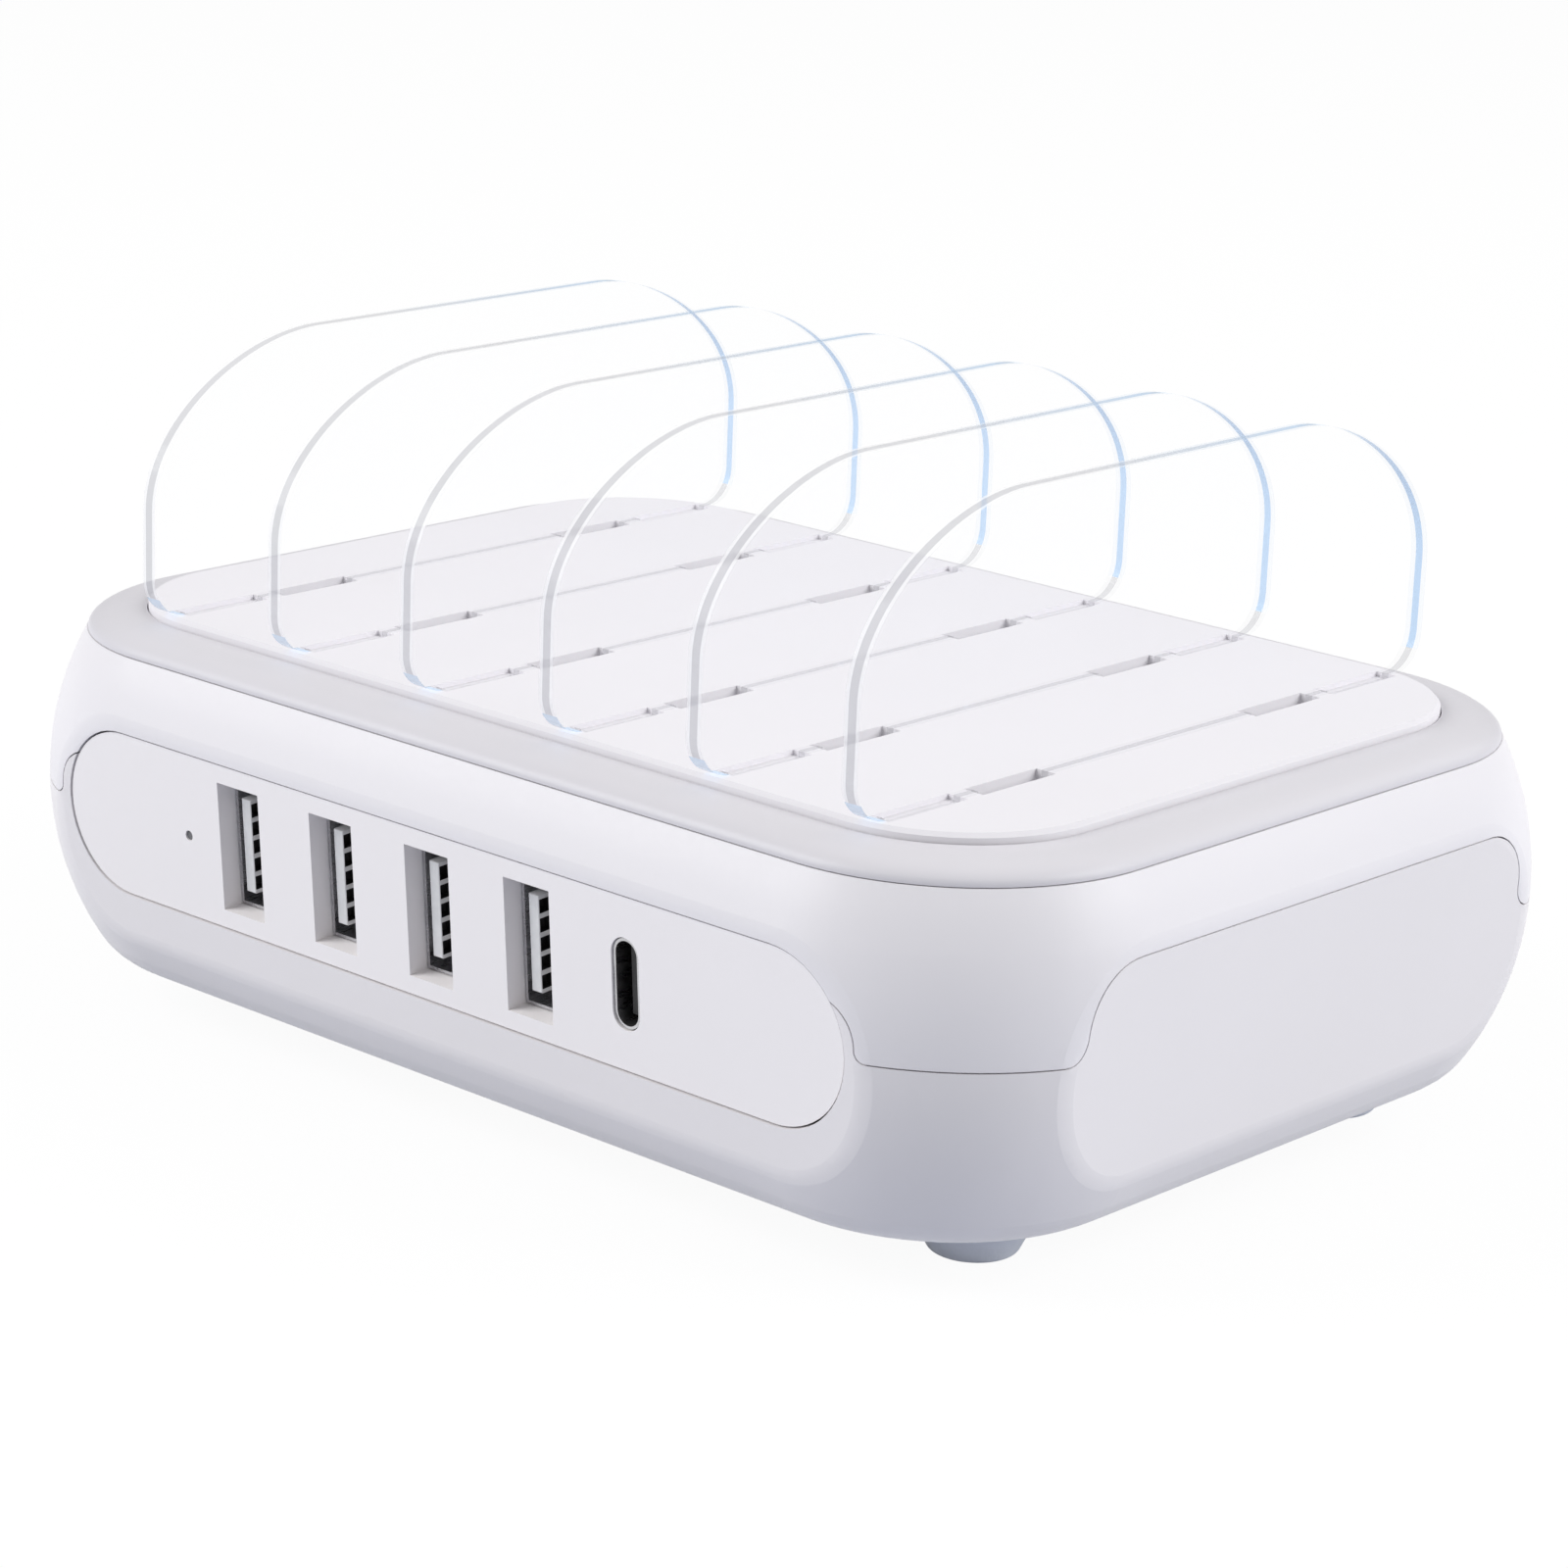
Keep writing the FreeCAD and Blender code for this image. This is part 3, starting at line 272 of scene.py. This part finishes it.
def acrylicMaterial(name, look):
    mat, tree, shader, out = newMaterial(name)
    coords = addNode(tree, "ShaderNodeTexCoord", -1700)
    place = addNode(tree, "ShaderNodeSeparateXYZ", -1500, 100)
    facing = addNode(tree, "ShaderNodeSeparateXYZ", -1500, -200)
    tree.links.new(coords.outputs["Object"], place.inputs["Vector"])
    tree.links.new(coords.outputs["Normal"], facing.inputs["Vector"])
    sideways = mathInto(tree, "ABSOLUTE", (facing.outputs["X"],), -1300, -200)
    broad = mathInto(tree, "GREATER_THAN", (sideways, look["broadFrom"]), -1100, -200)

    # distance from the middle of the plate's thickness, by the plates' pitch
    steps = mathInto(tree, "DIVIDE", (place.outputs["X"], look["pitch"]), -1300, 300)
    steps = mathInto(tree, "ADD", (steps, look["shift"]), -1150, 300)
    within = mathInto(tree, "FRACT", (steps,), -1000, 300)
    within = mathInto(tree, "SUBTRACT", (within, 0.5), -850, 300)
    within = mathInto(tree, "ABSOLUTE", (within,), -700, 300)
    off = mathInto(tree, "MULTIPLY", (within, look["pitch"]), -550, 300)

    border = mathInto(tree, "GREATER_THAN", (off, look["core"]), -400, 300)
    line = mathInto(tree, "LESS_THAN", (off, look["line"]), -400, 150)
    rim = mathInto(tree, "GREATER_THAN", (off, look["outer"]), -400, 450)
    foot = mathInto(tree, "LESS_THAN", (place.outputs["Z"], look["footTop"]), -1100, 500)
    toe = mathInto(tree, "LESS_THAN", (place.outputs["Y"], look["footFront"]), -1100, 600)
    depth = rangeInto(tree, place.outputs["Y"], look["depthRange"], -1100, 700).outputs["Result"]
    group = addGrain(tree, coords.outputs["Object"], look, -1100, -500)
    tree.links.new(group.outputs["Roughness"], shader.inputs["Roughness"])

    # painted light in the edge colours: grey core for light bent inside the edge, pale flanks a painted
    # highlight, blue rear edges the sheet's tint with painted light through it, blue toes a painted glint
    edge = mixColours(tree, border, look["paintedRefractionGrey"], look["paintedFlankHighlight"], -400, 800)
    edge = mixColours(tree, depth, edge, look["rearTintAndThroughLight"], -250, 800)
    under = mixColours(tree, toe, look["footGrey"], look["paintedToeGlint"], -250, 600)
    edge = mixColours(tree, foot, edge, under, -100, 700)
    tone = mixColours(tree, broad, edge, group.outputs["Color"], 50, 500)
    tree.links.new(tone, shader.inputs["Base Color"])

    alpha = mixInto(tree, border, look["edgeAlpha"], look["borderAlpha"], -400, 0)
    alpha = mixInto(tree, rim, alpha, look["rimAlpha"], -330, 0)
    rearAlpha = mixInto(tree, line, look["rearClear"], look["rearAlpha"], -400, -150)
    alpha = mixInto(tree, depth, alpha, rearAlpha, -250, 0)
    footAlpha = mixInto(tree, line, look["rimAlpha"], look["footAlpha"], -330, -150)
    footAlpha = mixInto(tree, toe, footAlpha, look["toeGlintAlpha"], -250, -150)
    alpha = mixInto(tree, foot, alpha, footAlpha, -100, 0)
    alpha = mixInto(tree, broad, alpha, look["faceAlpha"], 50, 200)
    tree.links.new(alpha, shader.inputs["Alpha"])

    shader.inputs["IOR"].default_value = look["ior"]
    shader.inputs["Specular IOR Level"].default_value = look["gloss"]
    shader.location = (300, 300)
    path = addNode(tree, "ShaderNodeLightPath", 300, 700)
    clear = addNode(tree, "ShaderNodeBsdfTransparent", 300, 500)
    shadowRay = path.outputs["Is Shadow Ray"]
    mixed = mixShaders(tree, shadowRay, shader.outputs["BSDF"], clear.outputs["BSDF"], 600, 400)
    tree.links.new(mixed, out.inputs["Surface"])
    return mat


materials["clear_acrylic"] = acrylicMaterial("clear_acrylic", acrylicLook)

for part in frame["record"]["subparts"]:
    obj = nodes[part["node"]]
    obj.data.materials.clear()
    obj.data.materials.append(materials[part["material_slot"]])

# modelling helpers

def cubeBetween(name, low, high):
    deselectAll()
    middle = [(a + b) / 2 for a, b in zip(low, high)]
    bpy.ops.mesh.primitive_cube_add(size=1, location=middle, scale=[b - a for a, b in zip(low, high)])
    bpy.ops.object.transform_apply(location=True, rotation=False, scale=True)
    bpy.context.active_object.name = name
    return bpy.context.active_object


def startEdit(kind):
    bpy.ops.object.mode_set(mode="EDIT")
    bpy.ops.mesh.select_mode(type=kind)


def endEdit():
    bpy.ops.object.mode_set(mode="OBJECT")


def selectFaces(obj, test):
    mesh = bmesh.from_edit_mesh(obj.data)
    for face in mesh.faces:
        face.select_set(False)
    for face in mesh.faces:
        if test(face.calc_center_median(), face.normal):
            face.select_set(True)
    bmesh.update_edit_mesh(obj.data)


def selectEdges(obj, test):
    mesh = bmesh.from_edit_mesh(obj.data)
    for edge in mesh.edges:
        edge.select_set(all(test(vert.co) for vert in edge.verts))
    bmesh.update_edit_mesh(obj.data)


def joinInto(main, others):
    deselectAll()
    for obj in (*others, main):
        obj.select_set(True)
    bpy.context.view_layer.objects.active = main
    bpy.ops.object.join()


# top band: a ring with a round shoulder, a skirt under it and a ledge for the panel
bandLook = dict(
    high=0.0414, shoulder=0.0046, round=0.0045, steps=14, arcSteps=20, smoothAngle=40,
    ring=dict(halfX=0.0663, halfY=0.0466, corner=0.0213, width=0.00605, low=0.0394),
    skirt=dict(halfX=0.0568, halfY=0.0371, corner=0.0238, width=0.0014, low=0.0371, high=0.0406),
    ledge=dict(halfX=0.06025, halfY=0.04055, corner=0.01525, width=0.0036, low=0.0394, high=0.0406),
)


def makeRing(name, spec, arcSteps):
    deselectAll()
    bpy.ops.mesh.primitive_plane_add(size=2, location=(0, 0, spec["low"]))
    ring = bpy.context.active_object
    ring.name = name
    ring.scale = (spec["halfX"], spec["halfY"], 1)
    bpy.ops.object.transform_apply(location=True, rotation=False, scale=True)
    bpy.ops.object.mode_set(mode="EDIT")
    bpy.ops.mesh.select_all(action="SELECT")
    bpy.ops.mesh.bevel(offset=spec["corner"], segments=arcSteps, affect="VERTICES")
    bpy.ops.mesh.select_mode(type="FACE")
    bpy.ops.mesh.select_all(action="SELECT")
    bpy.ops.mesh.inset(thickness=spec["width"], depth=0)
    bpy.ops.mesh.delete(type="FACE")
    bpy.ops.mesh.select_all(action="SELECT")
    bpy.ops.mesh.extrude_region_move(TRANSFORM_OT_translate={"value": (0, 0, spec["high"] - spec["low"])})
    bpy.ops.mesh.select_all(action="SELECT")
    bpy.ops.mesh.normals_make_consistent(inside=False)
    endEdit()
    return ring


def makeBand(look):
    spec = look["ring"]
    low, corner = spec["low"], spec["corner"]
    tall = look["shoulder"] + low  # modelled with a round shoulder, then pressed flat
    band = makeRing("topBand", dict(spec, high=tall), look["arcSteps"])
    straightX, straightY = spec["halfX"] - corner, spec["halfY"] - corner

    def onOutside(co):
        reach = math.hypot(max(abs(co.x) - straightX, 0), max(abs(co.y) - straightY, 0))
        return reach > corner - spec["width"] / 2

    startEdit("EDGE")
    selectEdges(band, lambda co: co.z > tall - slack and onOutside(co))
    bpy.ops.mesh.bevel(offset=look["round"], segments=look["steps"])
    bpy.ops.mesh.select_all(action="SELECT")
    press = (look["high"] - low) / look["shoulder"]
    bpy.ops.transform.resize(value=(1, 1, press), center_override=(0, 0, low))
    endEdit()
    skirt = makeRing("bandSkirt", look["skirt"], look["arcSteps"])
    ledge = makeRing("bandLedge", look["ledge"], look["arcSteps"])
    joinInto(band, (skirt, ledge))
    bpy.ops.object.shade_smooth_by_angle(angle=math.radians(look["smoothAngle"]))
    band.data.materials.clear()
    band.data.materials.append(materials["band_white"])
    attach(band, "base")
    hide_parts("top_band")


makeBand(bandLook)
print("rounded band on the shell")

# type A tongues: a white bar with five pockets on its contact side, their floors painted black for the shade
# in them
tongueLook = dict(
    count=4, first=-0.0270, pitch=0.0135, tilt=math.atan(0.08), reach=0.0485, height=0.0236,
    left=-0.00155, right=-0.00025, tip=0.00195, root=0.0112, halfHeight=0.0049, bevel=0.0001,
    baseHalfWidth=0.0025, baseHalfHeight=0.0062, back=0.0149, baseBevel=0.0002, bevelSteps=2, sideFacing=0.9,
    pockets=5, pocketPitch=0.0019, pocketHeight=0.0014, pocketFrom=0.0021, pocketTo=0.0036, pocketDepth=0.0010,
)


def roundFrontEdges(obj, front, offset, steps):
    selectEdges(obj, lambda co: co.y < front + slack)
    bpy.ops.mesh.bevel(offset=offset, segments=steps)


def cutAcross(place, normal):
    bpy.ops.mesh.select_all(action="SELECT")
    bpy.ops.mesh.bisect(plane_co=place, plane_no=normal)


def makeTongue(look):
    left, right, tip, root = (look[key] for key in ("left", "right", "tip", "root"))
    halfHeight, half = look["halfHeight"], look["pocketHeight"] / 2
    bar = cubeBetween("tongueBar", (left, tip, -halfHeight), (right, root, halfHeight))
    bar.data.materials.append(materials["tongue_white"])
    bar.data.materials.append(materials["tongue_black"])
    rows = [(i - (look["pockets"] - 1) / 2) * look["pocketPitch"] for i in range(look["pockets"])]
    startEdit("EDGE")
    roundFrontEdges(bar, tip, look["bevel"], look["bevelSteps"])
    for level in [row + side * half for row in rows for side in (-1, 1)]:
        cutAcross((0, 0, level), (0, 0, 1))
    for depth in (look["pocketFrom"], look["pocketTo"]):
        cutAcross((0, depth, 0), (0, 1, 0))
    bpy.ops.mesh.select_mode(type="FACE")

    def inPocket(co):
        inRow = any(abs(co.z - row) <= half + slack for row in rows)
        return inRow and look["pocketFrom"] <= co.y <= look["pocketTo"]

    def sunk(co, normal):
        return inPocket(co) and left + slack < co.x < right - slack and abs(co.z) < halfHeight - slack

    selectFaces(bar, lambda co, normal: normal.x > look["sideFacing"] and inPocket(co))
    bpy.ops.mesh.extrude_region_move(TRANSFORM_OT_translate={"value": (-look["pocketDepth"], 0, 0)})
    # pocket floors and walls get the black finish: painted shade where the pockets lie in shadow
    selectFaces(bar, sunk)
    bar.active_material_index = 1
    bpy.ops.object.material_slot_assign()
    endEdit()
    baseX, baseZ = look["baseHalfWidth"], look["baseHalfHeight"]
    base = cubeBetween("tongueBase", (-baseX, root, -baseZ), (baseX, look["back"], baseZ))
    base.data.materials.append(materials["tongue_white"])
    startEdit("EDGE")
    roundFrontEdges(base, root, look["baseBevel"], look["bevelSteps"])
    endEdit()
    joinInto(bar, (base,))
    return bar


def placeTongues(look):
    bar = makeTongue(look)
    facet = Matrix.Translation((0, -look["reach"], look["height"])) @ Matrix.Rotation(look["tilt"], 4, "X")
    for i in range(look["count"]):
        piece = bar.copy()
        piece.data = bar.data.copy()
        piece.name = "socketTongue%d" % (i + 1)
        bpy.context.collection.objects.link(piece)
        piece.data.transform(facet @ Matrix.Translation((look["first"] + i * look["pitch"], 0, 0)))
        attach(piece, "base")
        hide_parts("usb_a_tongue_%d" % (i + 1))
    bpy.data.objects.remove(bar)


placeTongues(tongueLook)
print("tongues in", tongueLook["count"], "sockets")

# floor: white to the eye, blue-grey in what it throws back on the base
floorLook = dict(size=8.0, eye=(1.0, 1.0, 1.0), bounce=(0.45, 0.48, 0.57), rough=0.9, glow=0.94)


def makeFloor(look):
    deselectAll()
    bpy.ops.mesh.primitive_plane_add(size=look["size"], location=(0, 0, 0))
    floor = bpy.context.active_object
    floor.name = "paleFloor"
    mat, tree, shader, out = newMaterial("paleFloor")
    setOrLink(tree, shader.inputs["Base Color"], look["bounce"])
    shader.inputs["Roughness"].default_value = look["rough"]
    rays = addNode(tree, "ShaderNodeLightPath", -400, 500).outputs
    seen = mathInto(tree, "MAXIMUM", (rays["Is Camera Ray"], rays["Is Glossy Ray"]), -200, 500)
    seen = mathInto(tree, "MAXIMUM", (seen, rays["Is Transmission Ray"]), 0, 500)
    glow = addNode(tree, "ShaderNodeEmission", -200, 200)
    setOrLink(tree, glow.inputs["Color"], look["eye"])
    pale = addNode(tree, "ShaderNodeBsdfDiffuse", -200, 50)
    setOrLink(tree, pale.inputs["Color"], look["eye"])
    white = mixShaders(tree, look["glow"], pale.outputs["BSDF"], glow.outputs["Emission"], 50, 150)
    mixed = mixShaders(tree, seen, shader.outputs["BSDF"], white, 300, 200)
    tree.links.new(mixed, out.inputs["Surface"])
    floor.data.materials.append(mat)


makeFloor(floorLook)

# room light: white to the eye, soft and dimmer on the object
roomLight = dict(tint=(1.0, 1.0, 1.0), strength=0.36, eye=(1.0, 1.0, 1.0))


def makeWorld(look):
    world = bpy.data.worlds.new("studioRoom")
    bpy.context.scene.world = world
    world.use_nodes = True
    tree = world.node_tree
    room = tree.nodes["Background"]
    setOrLink(tree, room.inputs["Color"], look["tint"])
    room.inputs["Strength"].default_value = look["strength"]
    white = addNode(tree, "ShaderNodeBackground", 0, 200)
    setOrLink(tree, white.inputs["Color"], look["eye"])
    rays = addNode(tree, "ShaderNodeLightPath", -400, 400).outputs
    seen = mathInto(tree, "MAXIMUM", (rays["Is Camera Ray"], rays["Is Transmission Ray"]), -200, 400)
    mixed = mixShaders(tree, seen, room.outputs["Background"], white.outputs["Background"], 250, 200)
    tree.links.new(mixed, tree.nodes["World Output"].inputs["Surface"])


makeWorld(roomLight)

# soft boxes: one for the front, one for the right end, one behind
softBoxes = {
    "frontBox": dict(place=(-0.66, -0.80, 0.72), size=0.75, power=11.3),
    "sideBox": dict(place=(0.90, 0.48, 0.66), size=0.75, power=9.4),
    "rearBox": dict(place=(0.33, 0.90, 0.80), size=0.75, power=2.2),
}
lightAim = Vector((0, 0, 0.03))
for name, spec in softBoxes.items():
    deselectAll()
    bpy.ops.object.light_add(type="AREA", location=spec["place"])
    lamp = bpy.context.active_object
    lamp.name = name
    lamp.data.size = spec["size"]
    lamp.data.energy = spec["power"]
    lamp.rotation_euler = (lightAim - Vector(spec["place"])).to_track_quat("-Z", "Y").to_euler()
print("floor, room and", len(softBoxes), "soft boxes")

# camera from the photo's viewing angle
view = dict(azimuth=41.97, elevation=16.36, roll=2.14, distance=0.4725, target=(0.00126, 0.0, 0.02781),
            focalPixels=4726.0, framePixels=1600.0, sensor=36.0, clipStart=0.01)


def makeCamera(look):
    az, el, roll = (math.radians(look[key]) for key in ("azimuth", "elevation", "roll"))
    right = Vector((math.cos(az), math.sin(az), 0))
    back = Vector((math.sin(az) * math.cos(el), -math.cos(az) * math.cos(el), math.sin(el)))
    up = back.cross(right)
    across = right * math.cos(roll) + up * math.sin(roll)
    upright = up * math.cos(roll) - right * math.sin(roll)
    place = Vector(look["target"]) + back * look["distance"]
    deselectAll()
    bpy.ops.object.camera_add(location=place)
    camera = bpy.context.active_object
    camera.name = "photoCamera"
    turn = Matrix((across, upright, back)).transposed().to_4x4()
    camera.matrix_world = Matrix.Translation(place) @ turn
    camera.data.sensor_width = look["sensor"]
    camera.data.lens = look["focalPixels"] / look["framePixels"] * look["sensor"]
    camera.data.clip_start = look["clipStart"]
    bpy.context.scene.camera = camera


makeCamera(view)
bpy.context.scene.view_settings.view_transform = "Standard"
bpy.context.scene.cycles.transparent_max_bounces = 32  # six clear plates stand one behind the other
print("camera set")
